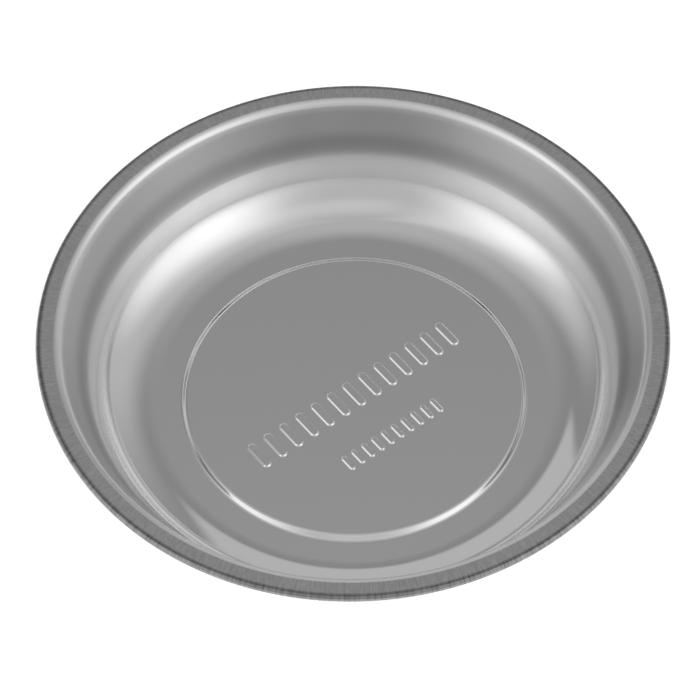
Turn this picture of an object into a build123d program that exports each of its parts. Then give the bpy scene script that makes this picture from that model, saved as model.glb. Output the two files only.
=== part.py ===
from build123d import *

import os
from math import radians, tan

# A round magnetic parts tray: a pressed steel dish standing on a rubber-booted ring magnet.
# Millimetres, +Z up. The origin is the centre of the circle that the boot stands on, and +X runs
# along the rows of ribs pressed into the dish's floor.

# The magnet is a stock ferrite ring.
MAGNET_RADIUS = 36.0
MAGNET_BORE_RADIUS = 16.0
MAGNET_THICKNESS = 10.0
MAGNET_CHAMFER = 0.5

# The boot is a moulded rubber cup that holds the magnet. Its middle is formed up into the bore.
BOOT_RADIUS = 39.5
BOOT_FLOOR = 2.0
BOOT_EDGE = 2.0
BOOT_LIP_EDGE = 0.4
MAGNET_CLEARANCE = 0.2
FORM_HEIGHT = 1.5
FORM_EDGE = 0.6
GROOVE_RADII = (20.0, 26.0, 32.0)
GROOVE_WIDTH = 1.2
GROOVE_DEPTH = 0.4

# Adhesive layers: between boot and magnet, magnet and dish, and boot and dish.
BED_THICKNESS = 0.2
MAGNET_GLUE_THICKNESS = 0.4
BOOT_GLUE_THICKNESS = 0.2
GLUE_MARGIN = 1.0
BOOT_GLUE_OUTER_RADIUS = 39.0
BOOT_GLUE_INNER_RADIUS = 36.8

# The dish is one pressed sheet. Radii, and heights above its flat floor, are of its inside.
SHEET = 0.5
RIM_RADIUS = 75.0
CURL_RADIUS = 1.0
CURL_TURN = 250.0
RIM_HEIGHT = 27.6
RIM_INNER_RADIUS = 69.6
RIM_ARC = 2.3
SHOULDER_HEIGHT = 14.4
SHOULDER_ARC = 2.4
WALL_ANGLE = 79.0
KNEE_HEIGHT = 7.5
KNEE_ARC = 4.0
FOOT_ANGLE = 52.0
FOOT_ARC = 17.5
FLOOR_RADIUS = 47.4
STEP_HEIGHT = 0.8
STEP_OUTER_RADIUS = 41.8
STEP_INNER_RADIUS = 40.6
STEP_ARC = 1.4

# Ribs are pressed up from the raised middle of the floor, in two rows along X.
RIB_RISE = 0.3
RIB_DRAFT = 40.0
LARGE_RIBS = {"count": 13, "pitch": 4.8, "length": 8.0, "width": 2.2, "row_y": 0.0}
SMALL_RIBS = {"count": 10, "pitch": 3.0, "length": 4.6, "width": 1.4, "row_y": -15.0}

# Heights of the stack, from the ground up.
magnet_bottom = BOOT_FLOOR + BED_THICKNESS
magnet_top = magnet_bottom + MAGNET_THICKNESS
disc_bottom = magnet_top + MAGNET_GLUE_THICKNESS
disc_top = disc_bottom + SHEET
floor_top = disc_top - STEP_HEIGHT
boot_top = disc_bottom - BOOT_GLUE_THICKNESS

# The wall rises from the floor in a wide curve, and a knee turns it steeply up to the shoulder, from which
# a straight collar flares to the rim.
foot_radius = FLOOR_RADIUS + FOOT_ARC * tan(radians(FOOT_ANGLE / 2))
knee_radius = foot_radius + KNEE_HEIGHT / tan(radians(FOOT_ANGLE))
shoulder_radius = knee_radius + (SHOULDER_HEIGHT - KNEE_HEIGHT) / tan(radians(WALL_ANGLE))

os.makedirs("parts", exist_ok=True)

with BuildPart() as dish:
    with BuildSketch(Plane.XZ):
        with BuildLine():
            inside = FilletPolyline(
                (0, disc_top),
                (STEP_INNER_RADIUS, disc_top),
                (STEP_OUTER_RADIUS, floor_top),
                (foot_radius, floor_top),
                (knee_radius, floor_top + KNEE_HEIGHT),
                (shoulder_radius, floor_top + SHOULDER_HEIGHT),
                (RIM_INNER_RADIUS, floor_top + RIM_HEIGHT),
                (RIM_RADIUS - CURL_RADIUS, floor_top + RIM_HEIGHT),
                radius=[STEP_ARC, STEP_ARC, FOOT_ARC, KNEE_ARC, SHOULDER_ARC, RIM_ARC],
            )
            JernArc(inside @ 1, inside % 1, CURL_RADIUS, -CURL_TURN)
            offset(amount=SHEET, side=Side.RIGHT)
        make_face()
    revolve(axis=Axis.Z)
    for row in (LARGE_RIBS, SMALL_RIBS):
        with BuildSketch(Plane((0, row["row_y"], disc_top))):
            with GridLocations(row["pitch"], 0, row["count"], 1):
                SlotOverall(row["length"], row["width"], rotation=90)
        extrude(amount=RIB_RISE, taper=RIB_DRAFT)
        with BuildSketch(Plane((0, row["row_y"], disc_bottom))):
            with GridLocations(row["pitch"], 0, row["count"], 1):
                SlotOverall(row["length"] - SHEET, row["width"] - SHEET, rotation=90)
        extrude(amount=RIB_RISE, taper=RIB_DRAFT, mode=Mode.SUBTRACT)
dish.part.label = "dish"
export_step(dish.part, "parts/dish.step")

with BuildPart() as ring_magnet:
    with BuildSketch(Plane.XY.offset(magnet_bottom)):
        Circle(MAGNET_RADIUS)
        Circle(MAGNET_BORE_RADIUS, mode=Mode.SUBTRACT)
    extrude(amount=MAGNET_THICKNESS)
    chamfer(ring_magnet.edges().filter_by(GeomType.CIRCLE), MAGNET_CHAMFER)
ring_magnet.part.label = "ring_magnet"
export_step(ring_magnet.part, "parts/ring_magnet.step")

with BuildPart() as magnet_boot:
    with BuildSketch():
        Circle(BOOT_RADIUS)
    extrude(amount=boot_top)
    fillet(magnet_boot.edges().group_by(Axis.Z)[0], BOOT_EDGE)
    fillet(magnet_boot.edges().group_by(Axis.Z)[-1], BOOT_LIP_EDGE)
    with BuildSketch(Plane.XY.offset(BOOT_FLOOR)):
        Circle(MAGNET_RADIUS + MAGNET_CLEARANCE)
    extrude(amount=boot_top - BOOT_FLOOR, mode=Mode.SUBTRACT)
    with BuildSketch(Plane.XY.offset(BOOT_FLOOR)):
        Circle(MAGNET_BORE_RADIUS - MAGNET_CLEARANCE)
    extrude(amount=FORM_HEIGHT)
    with BuildSketch():
        Circle(MAGNET_BORE_RADIUS - MAGNET_CLEARANCE - BOOT_FLOOR)
    extrude(amount=FORM_HEIGHT, mode=Mode.SUBTRACT)
    fillet(magnet_boot.edges().group_by(Axis.Z)[0].sort_by(SortBy.LENGTH)[0], FORM_EDGE)
    for radius in GROOVE_RADII:
        with BuildSketch():
            Circle(radius + GROOVE_WIDTH / 2)
            Circle(radius - GROOVE_WIDTH / 2, mode=Mode.SUBTRACT)
        extrude(amount=GROOVE_DEPTH, mode=Mode.SUBTRACT)
magnet_boot.part.label = "magnet_boot"
export_step(magnet_boot.part, "parts/magnet_boot.step")

with BuildPart() as magnet_bed_adhesive:
    with BuildSketch(Plane.XY.offset(BOOT_FLOOR)):
        Circle(MAGNET_RADIUS - GLUE_MARGIN)
        Circle(MAGNET_BORE_RADIUS + GLUE_MARGIN, mode=Mode.SUBTRACT)
    extrude(amount=BED_THICKNESS)
magnet_bed_adhesive.part.label = "magnet_bed_adhesive"
export_step(magnet_bed_adhesive.part, "parts/magnet_bed_adhesive.step")

with BuildPart() as magnet_adhesive:
    with BuildSketch(Plane.XY.offset(magnet_top)):
        Circle(MAGNET_RADIUS - GLUE_MARGIN)
        Circle(MAGNET_BORE_RADIUS + GLUE_MARGIN, mode=Mode.SUBTRACT)
    extrude(amount=MAGNET_GLUE_THICKNESS)
magnet_adhesive.part.label = "magnet_adhesive"
export_step(magnet_adhesive.part, "parts/magnet_adhesive.step")

with BuildPart() as boot_adhesive:
    with BuildSketch(Plane.XY.offset(boot_top)):
        Circle(BOOT_GLUE_OUTER_RADIUS)
        Circle(BOOT_GLUE_INNER_RADIUS, mode=Mode.SUBTRACT)
    extrude(amount=BOOT_GLUE_THICKNESS)
boot_adhesive.part.label = "boot_adhesive"
export_step(boot_adhesive.part, "parts/boot_adhesive.step")
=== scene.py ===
from math import atan, ceil, copysign, cos, pi, radians, sin, tan

import bpy
from mathutils import Matrix, Vector
from mathutils.geometry import delaunay_2d_cdt


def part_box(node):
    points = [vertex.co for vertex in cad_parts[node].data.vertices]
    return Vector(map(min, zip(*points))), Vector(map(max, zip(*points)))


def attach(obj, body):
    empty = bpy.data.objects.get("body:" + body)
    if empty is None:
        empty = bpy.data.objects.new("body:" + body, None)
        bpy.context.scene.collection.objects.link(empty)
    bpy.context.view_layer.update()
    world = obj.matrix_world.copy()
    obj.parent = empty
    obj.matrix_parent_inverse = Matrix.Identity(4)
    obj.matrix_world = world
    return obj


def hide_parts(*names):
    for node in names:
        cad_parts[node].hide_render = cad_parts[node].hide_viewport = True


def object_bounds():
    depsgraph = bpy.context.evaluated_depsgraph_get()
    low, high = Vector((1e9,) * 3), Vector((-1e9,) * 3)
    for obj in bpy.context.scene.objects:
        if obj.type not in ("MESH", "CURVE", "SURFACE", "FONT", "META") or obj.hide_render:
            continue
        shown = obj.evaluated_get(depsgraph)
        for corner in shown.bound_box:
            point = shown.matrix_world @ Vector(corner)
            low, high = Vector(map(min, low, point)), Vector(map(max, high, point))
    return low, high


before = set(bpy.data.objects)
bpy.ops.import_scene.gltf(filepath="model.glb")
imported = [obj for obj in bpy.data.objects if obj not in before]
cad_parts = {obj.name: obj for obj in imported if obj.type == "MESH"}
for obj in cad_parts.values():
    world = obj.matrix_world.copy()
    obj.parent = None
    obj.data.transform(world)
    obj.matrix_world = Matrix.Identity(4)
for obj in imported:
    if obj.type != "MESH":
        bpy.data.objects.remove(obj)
cad_low, cad_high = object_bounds()

MM = 0.001

# The dish's sheet and its inside, in millimetres, as in the CAD source. Heights are above its flat floor.
SHEET = 0.5
CURL_RADIUS = 1.0
CURL_TURN = 250.0
RIM_INNER_RADIUS = 69.6
RIM_ARC = 2.3
SHOULDER_HEIGHT = 14.4
SHOULDER_ARC = 2.4
WALL_ANGLE = 79.0
KNEE_HEIGHT = 7.5
KNEE_ARC = 4.0
FOOT_ANGLE = 52.0
FOOT_ARC = 17.5
FLOOR_RADIUS = 47.4
STEP_HEIGHT = 0.8
STEP_OUTER_RADIUS = 41.8
STEP_INNER_RADIUS = 40.6
STEP_ARC = 1.4
RIB_RISE = 0.3
RIB_ROWS = (
    {"count": 13, "pitch": 4.8, "length": 8.0, "width": 2.2, "row_y": 0.0},
    {"count": 10, "pitch": 3.0, "length": 4.6, "width": 1.4, "row_y": -15.0},
)

# A pressed rib has no sharp edge: its flank is an S-curve this wide, centred on the CAD rib's slope.
RIB_FLANK = 0.5
RIB_FLANK_START = -0.12

# Fineness of the round meshes.
TURN_STEPS = 384
ARC_STEP = radians(3.0)
RIB_ARC_STEPS = 10
RIB_FLANK_STEPS = 6

# How the flat middle is divided: every triangle is kept, and points nearer than this, in metres, are one.
ALL_TRIANGLES = 0
SAME_POINT = 1e-9

# Where the dish stands, from the frame.
dish_low, dish_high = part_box("dish")
RIM_RADIUS = dish_high.x / MM
FLOOR_TOP = dish_low.z / MM + SHEET
RIM_TOP = dish_high.z / MM
DISC_TOP = FLOOR_TOP + STEP_HEIGHT
CURL_CENTRE = RIM_TOP - CURL_RADIUS

# The camera: its place round the middle of the rim, and how it is turned from looking straight at that.
CAMERA_AZIMUTH = -37.0
CAMERA_ELEVATION = 54.0
CAMERA_DISTANCE = 900.0
CAMERA_LENS = 195.7
CAMERA_SENSOR = 36
CAMERA_ROLL = 1.33
CAMERA_PAN = 0.04
CAMERA_TILT = 0.28


# ---------------------------------------------------------------- round shapes


def arc(start, heading, radius, turn):
    """Rows of (radius, height, heading) along an arc that turns left for a positive angle."""
    side = copysign(1, turn)
    centre_r = start[0] - side * radius * sin(heading)
    centre_z = start[1] + side * radius * cos(heading)
    steps = max(2, ceil(abs(turn) / ARC_STEP))
    headings = [heading + turn * k / steps for k in range(steps + 1)]
    return [(centre_r + side * radius * sin(a), centre_z - side * radius * cos(a), a) for a in headings]


def rounded(corners, radii):
    """Rows of (radius, height, heading) along a line with rounded corners."""
    runs = [Vector(b) - Vector(a) for a, b in zip(corners, corners[1:])]
    headings = [Vector((1, 0)).angle_signed(run) * -1 for run in runs]
    rows = [(*corners[0], headings[0])]
    for corner, radius, before, after in zip(corners[1:], radii, headings, headings[1:]):
        setback = radius * tan(abs(after - before) / 2)
        start = (corner[0] - setback * cos(before), corner[1] - setback * sin(before))
        rows += arc(start, before, radius, after - before)
    return rows + [(*corners[-1], headings[-1])]


class Shape:
    """Points and faces of one mesh, with a normal for every corner of every face."""

    def __init__(self):
        self.points = []
        self.faces = []
        self.normals = []

    def ring(self, radius, height):
        """A level circle of points round the Z axis."""
        first = len(self.points)
        for k in range(TURN_STEPS):
            a = 2 * pi * k / TURN_STEPS
            self.points.append((radius * cos(a) * MM, radius * sin(a) * MM, height * MM))
        return range(first, first + TURN_STEPS)

    def face(self, corners, normals, flipped=False):
        """One face. Flipped turns it and its normals over."""
        if flipped:
            corners = corners[::-1]
            normals = [-n for n in normals[::-1]]
        self.faces.append(corners)
        self.normals += normals

    def band(self, inner, outer, inner_heading, outer_heading, flipped=False):
        """Faces between two rings, with normals on the left of the headings."""
        for k in range(TURN_STEPS):
            after = (k + 1) % TURN_STEPS
            corners = [inner[k], outer[k], outer[after], inner[after]]
            turns = [(k, inner_heading), (k, outer_heading), (k + 1, outer_heading), (k + 1, inner_heading)]
            self.face(corners, [round_normal(*t) for t in turns], flipped)

    def mesh(self, name):
        """The Blender mesh of the points, faces and normals."""
        made = bpy.data.meshes.new(name)
        made.from_pydata(self.points, [], self.faces)
        made.polygons.foreach_set("use_smooth", [True] * len(self.faces))
        made.normals_split_custom_set([tuple(n) for n in self.normals])
        return made


def round_normal(step, heading):
    """The normal on the left of a heading in the (radius, height) plane, turned to a step round the axis."""
    a = 2 * pi * step / TURN_STEPS
    return Vector((-sin(heading) * cos(a), -sin(heading) * sin(a), cos(heading)))


# ---------------------------------------------------------------- the dish


def dish_section():
    """The dish's inside from the edge of the raised disc to the end of the rolled rim."""
    foot_radius = FLOOR_RADIUS + FOOT_ARC * tan(radians(FOOT_ANGLE / 2))
    knee_radius = foot_radius + KNEE_HEIGHT / tan(radians(FOOT_ANGLE))
    shoulder_radius = knee_radius + (SHOULDER_HEIGHT - KNEE_HEIGHT) / tan(radians(WALL_ANGLE))
    corners = [
        (0, DISC_TOP),
        (STEP_INNER_RADIUS, DISC_TOP),
        (STEP_OUTER_RADIUS, FLOOR_TOP),
        (foot_radius, FLOOR_TOP),
        (knee_radius, FLOOR_TOP + KNEE_HEIGHT),
        (shoulder_radius, FLOOR_TOP + SHOULDER_HEIGHT),
        (RIM_INNER_RADIUS, RIM_TOP),
        (RIM_RADIUS - CURL_RADIUS, RIM_TOP),
    ]
    radii = [STEP_ARC, STEP_ARC, FOOT_ARC, KNEE_ARC, SHOULDER_ARC, RIM_ARC]
    rows = rounded(corners, radii)[1:-1]
    return rows + arc(corners[-1], 0, CURL_RADIUS, -radians(CURL_TURN))


def slot_outline(x, y, half_run, radius, grow):
    """Points and outward directions round a slot whose long side lies along Y."""
    rows = []
    for end, first_angle in ((1, 0), (-1, pi)):
        for k in range(RIB_ARC_STEPS + 1):
            a = first_angle + pi * k / RIB_ARC_STEPS
            out = Vector((cos(a), sin(a), 0))
            point = Vector((x, y + end * half_run, 0)) + out * (radius + grow)
            rows.append((point, out))
    return rows


def add_rib(shape, x, row, shrink, height, flipped):
    """A rib's flank and top. Returns the points of its foot."""
    radius = (row["width"] - shrink) / 2
    half_run = (row["length"] - row["width"]) / 2
    loops = []
    for k in range(RIB_FLANK_STEPS + 1):
        t = k / RIB_FLANK_STEPS
        grow = -RIB_FLANK_START - RIB_FLANK * t
        rise = RIB_RISE * t * t * (3 - 2 * t)
        slope = atan(RIB_RISE * 6 * t * (1 - t) / RIB_FLANK)
        first = len(shape.points)
        normals = []
        for point, out in slot_outline(x, row["row_y"], half_run, radius, grow):
            shape.points.append(tuple((point + Vector((0, 0, height + rise))) * MM))
            normals.append(out * sin(slope) + Vector((0, 0, cos(slope))))
        loops.append((list(range(first, len(shape.points))), normals))
    count = len(loops[0][0])
    for (outer, outer_normals), (inner, inner_normals) in zip(loops, loops[1:]):
        for k in range(count):
            j = (k + 1) % count
            corners = [outer[k], outer[j], inner[j], inner[k]]
            normals = [outer_normals[k], outer_normals[j], inner_normals[j], inner_normals[k]]
            shape.face(corners, normals, flipped)
    top, top_normals = loops[-1]
    shape.face(top, top_normals, flipped)
    return loops[0][0]


def add_disc(shape, edge, height, shrink, flipped):
    """The flat middle of the dish up to a ring of points, with the ribs in it."""
    feet = []
    for row in RIB_ROWS:
        for k in range(row["count"]):
            x = (k - (row["count"] - 1) / 2) * row["pitch"]
            feet.append(add_rib(shape, x, row, shrink, height, flipped))
    outlines = [list(edge)] + feet
    corners = [p for outline in outlines for p in outline]
    owner = [n for n, outline in enumerate(outlines) for _ in outline]
    lines = []
    start = 0
    for outline in outlines:
        size = len(outline)
        lines += [(start + k, start + (k + 1) % size) for k in range(size)]
        start += size
    flat = [Vector(shape.points[p][:2]) for p in corners]
    _, _, faces, sources, _, _ = delaunay_2d_cdt(flat, lines, [], ALL_TRIANGLES, SAME_POINT)
    up = Vector((0, 0, 1))
    for face in faces:
        picked = [sources[p][0] for p in face]
        if len({owner[p] for p in picked}) == 1 and owner[picked[0]] > 0:
            continue
        shape.face([corners[p] for p in picked], [up] * 3, flipped)


def make_dish():
    """The pressed sheet: its inside, its outside a sheet's thickness behind, and the curl's cut edge."""
    shape = Shape()
    section = dish_section()
    inside = [shape.ring(r, z) for r, z, _ in section]
    outside = [shape.ring(r + SHEET * sin(a), z - SHEET * cos(a)) for r, z, a in section]
    for k in range(len(section) - 1):
        shape.band(inside[k], inside[k + 1], section[k][2], section[k + 1][2])
        shape.band(outside[k], outside[k + 1], section[k][2], section[k + 1][2], flipped=True)
    end = section[-1][2] - pi / 2
    shape.band(inside[-1], outside[-1], end, end)
    add_disc(shape, inside[0], DISC_TOP, 0, flipped=False)
    add_disc(shape, outside[0], DISC_TOP - SHEET, SHEET, flipped=True)
    dish = bpy.data.objects.new("dish_sheet", shape.mesh("dish_sheet"))
    bpy.context.scene.collection.objects.link(dish)
    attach(dish, "root")
    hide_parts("dish")
    return dish


# ---------------------------------------------------------------- shader nodes


# A Mix node's sockets for its share and its two colours, and the one for the blended colour.
MIX_COLOUR_INPUTS = (0, 6, 7)
MIX_COLOUR_OUTPUT = 2


class Nodes:
    """A node tree, with short ways to add the nodes that are used here."""

    def __init__(self, tree):
        self.tree = tree

    def set(self, node, **values):
        """Sets a node's inputs by name, with _ for a space. A socket is linked, and a value is set."""
        for name, value in values.items():
            socket = node.inputs[name.replace("_", " ")]
            if isinstance(value, bpy.types.NodeSocket):
                self.tree.links.new(value, socket)
            else:
                socket.default_value = value
        return node

    def add(self, kind, **values):
        """A new node of a kind, with its inputs set."""
        return self.set(self.tree.nodes.new("ShaderNode" + kind), **values)

    def math(self, operation, *values):
        """The result of a Math node."""
        node = self.add("Math")
        node.operation = operation
        for socket, value in zip(node.inputs, values):
            if isinstance(value, bpy.types.NodeSocket):
                self.tree.links.new(value, socket)
            else:
                socket.default_value = value
        return node.outputs[0]

    def step(self, value, low, high, at_low=0.0, at_high=1.0):
        """A smooth change from one value to another as the input goes from low to high."""
        node = self.add("MapRange", Value=value, From_Min=low, From_Max=high, To_Min=at_low, To_Max=at_high)
        node.interpolation_type = "SMOOTHSTEP"
        return node.outputs[0]

    def hump(self, value, middle, half_width, height):
        """A smooth hump round a value, and nought away from it."""
        off = self.math("ABSOLUTE", self.math("SUBTRACT", value, middle))
        return self.step(off, 0, half_width, height, 0)

    def noise(self, vector, scale, detail, roughness):
        """A noise pattern's value."""
        node = self.add("TexNoise", Vector=vector, Scale=scale, Detail=detail, Roughness=roughness)
        return node.outputs["Fac"]

    def grey(self, light):
        """A grey colour of a given lightness."""
        return self.add("CombineColor", Red=light, Green=light, Blue=light).outputs[0]

    def blend(self, share, first, second):
        """A colour between two others."""
        node = self.add("Mix")
        node.data_type = "RGBA"
        share_socket, first_socket, second_socket = (node.inputs[k] for k in MIX_COLOUR_INPUTS)
        self.tree.links.new(share, share_socket)
        first_socket.default_value = first
        second_socket.default_value = second
        return node.outputs[MIX_COLOUR_OUTPUT]

    def bump(self, height, distance, strength, under=None):
        """A normal that follows a height, over another normal if one is given."""
        node = self.add("Bump", Height=height, Distance=distance, Strength=strength)
        if under:
            self.set(node, Normal=under)
        return node.outputs[0]


def new_material(name):
    """A material, its nodes and its Principled shader."""
    material = bpy.data.materials.new(name)
    material.use_nodes = True
    return material, Nodes(material.node_tree), material.node_tree.nodes["Principled BSDF"]


# ---------------------------------------------------------------- materials

# The colours and roughness of the dish: polished steel, rougher steel from the wall's knee up, a collar
# painted darker, which is painted shade for the darker reflections of the upper wall, and the satin that the
# flange and the curl are left with.
STEEL_COLOUR = 0.80
COLLAR_PAINTED_SHADE_COLOUR = 0.59
SATIN_COLOUR = 0.56
# The curl's outer edge is darker, partly from its sheared, rolled edge and partly as painted shade for the
# darker floor it reflects.
EDGE_WEAR_AND_SHADE_COLOUR = 0.30
DARKEST_COLOUR = 0.08
STEEL_ROUGHNESS = 0.07
FORMED_ROUGHNESS = 0.30
SATIN_ROUGHNESS = 0.26

# The radii, in millimetres, between which the steel changes to each of these, and the collar's painted shade
# ends.
FORMED_RADII = (59.2, 61.4)
COLLAR_SHADE_RADII = (62.8, 64.0)
COLLAR_SHADE_END_RADII = (68.2, 69.2)
SATIN_RADII = (70.4, 71.0)
EDGE_RADII = (73.9, 74.4)

# The satin fades in between these depths, in millimetres, under the top of the rim.
SATIN_DEPTHS = (3.0, 1.6)

# Rings round the dish: the middle radius, the half width, and how much darker, brighter or rougher each is.
# The darker ring above the shoulder is painted shade for the dark line that the crease reflects; the brighter
# ring just above the knee is a painted highlight over the darker reflection there; the rougher ring is wear
# at the knee; the darker ring on the curl is partly a roll mark and partly painted shade for the darker floor
# it reflects.
SHOULDER_PAINTED_SHADE = (64.8, 1.8, 0.14)
KNEE_PAINTED_HIGHLIGHT = (62.3, 1.3, 0.17)
WORN_KNEE = (62.0, 1.5, 0.12)
ROLL_MARK_AND_SHADE = (74.0, 0.6, 0.26)

# Radial streaks on the flange, fine drawing marks, and patches that are a little duller.
STREAKS = {"scale": 150.0, "detail": 4.0, "roughness": 0.65}
STREAK_CONTRAST = 0.45
STREAK_DRIFT = 0.003
STREAK_BUMP = {"distance": 0.00008, "strength": 0.5}
DRAWING_MARKS = {"scale": 420.0, "detail": 2.0, "roughness": 0.6}
DRAWING_BUMP = {"distance": 0.00001, "strength": 0.03}
PATCHES = {"scale": 90.0, "detail": 3.0, "roughness": 0.55}
PATCH_RANGE = (0.35, 0.75)
PATCH_ROUGHNESS = (-0.015, 0.03)
NOISE_MIDDLE = 0.5
SMALLEST_RADIUS = 1.0

# Black rubber: mould grain, and a little dust that lightens and dulls it.
RUBBER_GRAIN = {"scale": 2600.0, "detail": 3.0, "roughness": 0.6}
RUBBER_GRAIN_BUMP = {"distance": 0.00006, "strength": 0.6}
RUBBER_DUST = {"scale": 140.0, "detail": 4.0, "roughness": 0.6}
RUBBER_DUST_RANGE = (0.45, 0.8)
RUBBER_COLOURS = (0.018, 0.034)
RUBBER_DULL_RANGE = (0.3, 0.7)
RUBBER_ROUGHNESS = (0.48, 0.62)

# Ferrite: fine pores, and clouds in its colour.
FERRITE_PORES = {"scale": 3200.0, "detail": 2.0, "roughness": 0.7}
FERRITE_PORE_BUMP = {"distance": 0.00004, "strength": 0.5}
FERRITE_CLOUDS = {"scale": 260.0, "detail": 4.0, "roughness": 0.6}
FERRITE_COLOURS = (0.028, 0.05)
FERRITE_ROUGHNESS = (0.42, 0.58)
CLOUD_RANGE = (0.3, 0.7)

# Adhesive: small bubbles, and clouds between two pale colours.
BUBBLE_SCALE = 900.0
BUBBLE_BUMP = {"distance": 0.00005, "strength": 0.4}
ADHESIVE_CLOUDS = {"scale": 300.0, "detail": 3.0, "roughness": 0.5}
ADHESIVE_DARK = (0.46, 0.40, 0.29, 1)
ADHESIVE_PALE = (0.58, 0.53, 0.42, 1)
ADHESIVE_ROUGHNESS = (0.28, 0.42)


def polished_steel():
    """Pressed stainless steel, mirror polished, with faint drawing marks and a satin, streaked flange."""
    material, nodes, shader = new_material("polished_steel")
    place = nodes.add("TexCoord").outputs["Object"]
    split = nodes.add("SeparateXYZ", Vector=place)
    x, y, z = (nodes.math("DIVIDE", split.outputs[axis], MM) for axis in "XYZ")
    radius = nodes.math("SQRT", nodes.math("ADD", nodes.math("MULTIPLY", x, x), nodes.math("MULTIPLY", y, y)))
    safe_radius = nodes.math("MAXIMUM", radius, SMALLEST_RADIUS)
    across_x = nodes.math("DIVIDE", x, safe_radius)
    across_y = nodes.math("DIVIDE", y, safe_radius)
    drift = nodes.math("MULTIPLY", nodes.math("ADD", radius, z), STREAK_DRIFT)
    across = nodes.add("CombineXYZ", X=across_x, Y=across_y, Z=drift).outputs[0]

    high_up = nodes.step(z, *(RIM_TOP - depth for depth in SATIN_DEPTHS))
    satin = nodes.math("MULTIPLY", nodes.step(radius, *SATIN_RADII), high_up)
    streaks = nodes.noise(across, **STREAKS)
    marks = nodes.noise(across, **DRAWING_MARKS)
    patches = nodes.noise(place, **PATCHES)

    # Painted shade: the collar, from the shoulder to the rim's inner arc, is darker than the polished steel,
    # standing in for the darker reflections of the upper wall.
    collar_shade_start = nodes.step(radius, *COLLAR_SHADE_RADII, 0, STEEL_COLOUR - COLLAR_PAINTED_SHADE_COLOUR)
    collar_shade_end = nodes.step(radius, *COLLAR_SHADE_END_RADII, 0, STEEL_COLOUR - COLLAR_PAINTED_SHADE_COLOUR)
    collar_shade = nodes.math("SUBTRACT", collar_shade_start, collar_shade_end)
    # Painted shade in a ring above the shoulder, for the dark line that its crease reflects.
    painted_shade_and_light = nodes.math("ADD", collar_shade, nodes.hump(radius, *SHOULDER_PAINTED_SHADE))
    # Painted highlight in a ring just above the knee, brightening the darker reflection there.
    painted_shade_and_light = nodes.math("SUBTRACT", painted_shade_and_light, nodes.hump(radius, *KNEE_PAINTED_HIGHLIGHT))
    colour = nodes.math("SUBTRACT", nodes.step(satin, 0, 1, STEEL_COLOUR, SATIN_COLOUR), painted_shade_and_light)
    marked = nodes.math("MULTIPLY", nodes.math("SUBTRACT", streaks, NOISE_MIDDLE), satin)
    colour = nodes.math("ADD", colour, nodes.math("MULTIPLY", marked, STREAK_CONTRAST))
    # Wear and painted shade: the curl's outer edge is darker, partly for its sheared, rolled edge and partly
    # as painted shade for the darker floor it reflects.
    edge = nodes.step(radius, *EDGE_RADII, 0, SATIN_COLOUR - EDGE_WEAR_AND_SHADE_COLOUR)
    darker = nodes.math("MULTIPLY", nodes.math("ADD", nodes.hump(radius, *ROLL_MARK_AND_SHADE), edge), high_up)
    colour = nodes.math("MAXIMUM", nodes.math("SUBTRACT", colour, darker), DARKEST_COLOUR)
    nodes.set(shader, Base_Color=nodes.grey(colour))

    formed = nodes.step(radius, *FORMED_RADII, STEEL_ROUGHNESS, FORMED_ROUGHNESS)
    rough = nodes.math("MAXIMUM", formed, nodes.step(satin, 0, 1, STEEL_ROUGHNESS, SATIN_ROUGHNESS))
    rough = nodes.math("ADD", rough, nodes.hump(radius, *WORN_KNEE))
    rough = nodes.math("ADD", rough, nodes.step(patches, *PATCH_RANGE, *PATCH_ROUGHNESS))
    nodes.set(shader, Metallic=1.0, Roughness=rough)

    drawn = nodes.bump(marks, **DRAWING_BUMP)
    ground = nodes.math("MULTIPLY", streaks, satin)
    nodes.set(shader, Normal=nodes.bump(ground, **STREAK_BUMP, under=drawn))
    return material


def moulded_rubber():
    """Black rubber with the fine grain of its mould and a little dust."""
    material, nodes, shader = new_material("moulded_rubber")
    place = nodes.add("TexCoord").outputs["Object"]
    grain = nodes.noise(place, **RUBBER_GRAIN)
    dust = nodes.noise(place, **RUBBER_DUST)
    nodes.set(shader, Base_Color=nodes.grey(nodes.step(dust, *RUBBER_DUST_RANGE, *RUBBER_COLOURS)))
    nodes.set(shader, Roughness=nodes.step(dust, *RUBBER_DULL_RANGE, *RUBBER_ROUGHNESS))
    nodes.set(shader, Normal=nodes.bump(grain, **RUBBER_GRAIN_BUMP))
    return material


def sintered_ferrite():
    """Dark grey ceramic with fine pores and faint clouds."""
    material, nodes, shader = new_material("sintered_ferrite")
    place = nodes.add("TexCoord").outputs["Object"]
    pores = nodes.noise(place, **FERRITE_PORES)
    clouds = nodes.noise(place, **FERRITE_CLOUDS)
    nodes.set(shader, Base_Color=nodes.grey(nodes.step(clouds, *CLOUD_RANGE, *FERRITE_COLOURS)))
    nodes.set(shader, Roughness=nodes.step(clouds, *CLOUD_RANGE, *FERRITE_ROUGHNESS))
    nodes.set(shader, Normal=nodes.bump(pores, **FERRITE_PORE_BUMP))
    return material


def cured_adhesive():
    """Pale cured adhesive, a little cloudy, with small bubbles."""
    material, nodes, shader = new_material("cured_adhesive")
    place = nodes.add("TexCoord").outputs["Object"]
    bubbles = nodes.add("TexVoronoi", Vector=place, Scale=BUBBLE_SCALE).outputs["Distance"]
    clouds = nodes.noise(place, **ADHESIVE_CLOUDS)
    nodes.set(shader, Base_Color=nodes.blend(clouds, ADHESIVE_DARK, ADHESIVE_PALE))
    nodes.set(shader, Roughness=nodes.step(clouds, *CLOUD_RANGE, *ADHESIVE_ROUGHNESS))
    nodes.set(shader, Normal=nodes.bump(bubbles, **BUBBLE_BUMP))
    return material


# ---------------------------------------------------------------- studio

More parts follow.
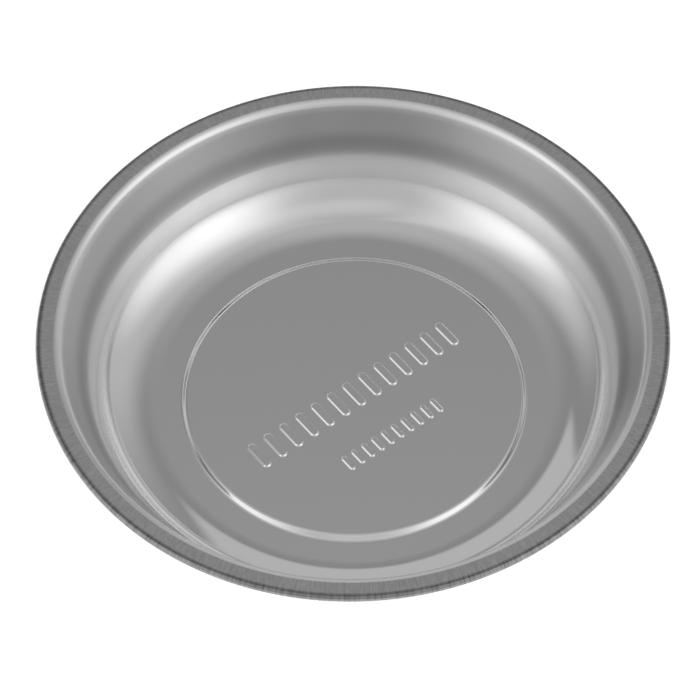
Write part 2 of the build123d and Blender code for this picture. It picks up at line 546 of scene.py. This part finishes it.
# Soft light in the studio by direction: its bearing from +Y, height, half width, half height and edge in
# degrees, how square it is, and its brightness. More light comes from overhead, from one height up to the
# other.
BASE_LIGHT = 0.29
SOFT_LIGHTS = (
    {"bearing": 28, "height": 15, "width": 23, "tall": 25, "edge": 5, "square": 8, "light": 0.25},
    {"bearing": 148, "height": 30, "width": 8, "tall": 8, "edge": 43, "square": 2, "light": 0.55},
    {"bearing": -81, "height": 16, "width": 6, "tall": 12, "edge": 35, "square": 2, "light": 0.66},
    {"bearing": -153, "height": 41, "width": 31, "tall": 18, "edge": 30, "square": 3, "light": 0.26},
    {"bearing": 132, "height": 27, "width": 35, "tall": 29, "edge": 40, "square": 2, "light": 0.26},
    {"bearing": -55, "height": 35, "width": 5, "tall": 5, "edge": 46, "square": 2, "light": 0.38},
)
ZENITH_LIGHT = 0.22
ZENITH_HEIGHTS = (45, 80)

# The floor: half its size and how far it lies under the part, in metres, and its look.
FLOOR_HALF = 4.0
FLOOR_DROP = 0.0001
FLOOR_COLOUR = (0.8, 0.8, 0.8, 1)
FLOOR_ROUGHNESS = 0.9
FLOOR_GLOW = 0.6
WHITE = (1, 1, 1, 1)


def light_shape(nodes, bearing, height, light):
    """How bright one soft light is in a direction."""
    turned = nodes.math("SUBTRACT", bearing, radians(light["bearing"]))
    turned = nodes.math("ABSOLUTE", nodes.math("WRAP", turned, pi, -pi))
    raised = nodes.math("ABSOLUTE", nodes.math("SUBTRACT", height, radians(light["height"])))
    wide = nodes.math("POWER", nodes.math("DIVIDE", turned, radians(light["width"])), light["square"])
    tall = nodes.math("POWER", nodes.math("DIVIDE", raised, radians(light["tall"])), light["square"])
    away = nodes.math("POWER", nodes.math("ADD", wide, tall), 1 / light["square"])
    reach = 1 + light["edge"] / min(light["width"], light["tall"])
    return nodes.step(away, 1, reach, light["light"], 0)


def make_world():
    """A pale studio: even light, more of it overhead, and a few soft lights."""
    world = bpy.data.worlds.new("studio")
    bpy.context.scene.world = world
    world.use_nodes = True
    nodes = Nodes(world.node_tree)
    split = nodes.add("SeparateXYZ", Vector=nodes.add("TexCoord").outputs["Generated"])
    bearing = nodes.math("ARCTAN2", split.outputs["X"], split.outputs["Y"])
    height = nodes.math("ARCSINE", split.outputs["Z"])
    total = nodes.step(height, *(radians(h) for h in ZENITH_HEIGHTS), 0, ZENITH_LIGHT)
    total = nodes.math("ADD", total, BASE_LIGHT)
    for light in SOFT_LIGHTS:
        total = nodes.math("ADD", total, light_shape(nodes, bearing, height, light))
    nodes.set(world.node_tree.nodes["Background"], Color=WHITE, Strength=total)


def make_floor():
    """A plain pale floor just under the part."""
    mesh = bpy.data.meshes.new("floor")
    z = cad_low.z - FLOOR_DROP
    corners = [(x * FLOOR_HALF, y * FLOOR_HALF, z) for x, y in ((-1, -1), (1, -1), (1, 1), (-1, 1))]
    mesh.from_pydata(corners, [], [(0, 1, 2, 3)])
    floor = bpy.data.objects.new("floor", mesh)
    bpy.context.scene.collection.objects.link(floor)
    material, nodes, shader = new_material("pale_floor")
    nodes.set(shader, Base_Color=FLOOR_COLOUR, Roughness=FLOOR_ROUGHNESS)
    nodes.set(shader, Emission_Color=WHITE, Emission_Strength=FLOOR_GLOW)
    mesh.materials.append(material)


def make_camera():
    """The camera, which looks down at the middle of the rim."""
    turn, rise = radians(CAMERA_AZIMUTH), radians(CAMERA_ELEVATION)
    back = Vector((sin(turn) * cos(rise), -cos(turn) * cos(rise), sin(rise)))
    aim = back.to_track_quat("Z", "Y").to_matrix()
    aim = aim @ Matrix.Rotation(-radians(CAMERA_ROLL), 3, "Z")
    aim = aim @ Matrix.Rotation(radians(CAMERA_PAN), 3, "Y") @ Matrix.Rotation(-radians(CAMERA_TILT), 3, "X")
    data = bpy.data.cameras.new("camera")
    data.lens = CAMERA_LENS
    data.sensor_width = CAMERA_SENSOR
    camera = bpy.data.objects.new("camera", data)
    bpy.context.scene.collection.objects.link(camera)
    place = Vector((0, 0, CURL_CENTRE * MM)) + back * CAMERA_DISTANCE * MM
    camera.matrix_world = Matrix.Translation(place) @ aim.to_4x4()
    bpy.context.scene.camera = camera


make_camera()
make_world()
make_floor()
dish = make_dish()
dish.data.materials.append(polished_steel())
adhesive = cured_adhesive()
looks = {
    "ring_magnet": sintered_ferrite(),
    "magnet_boot": moulded_rubber(),
    "magnet_adhesive": adhesive,
    "boot_adhesive": adhesive,
    "magnet_bed_adhesive": adhesive,
}
for node, look in looks.items():
    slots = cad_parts[node].data.materials
    slots.clear()
    slots.append(look)

bpy.context.scene.view_settings.view_transform = "Standard"
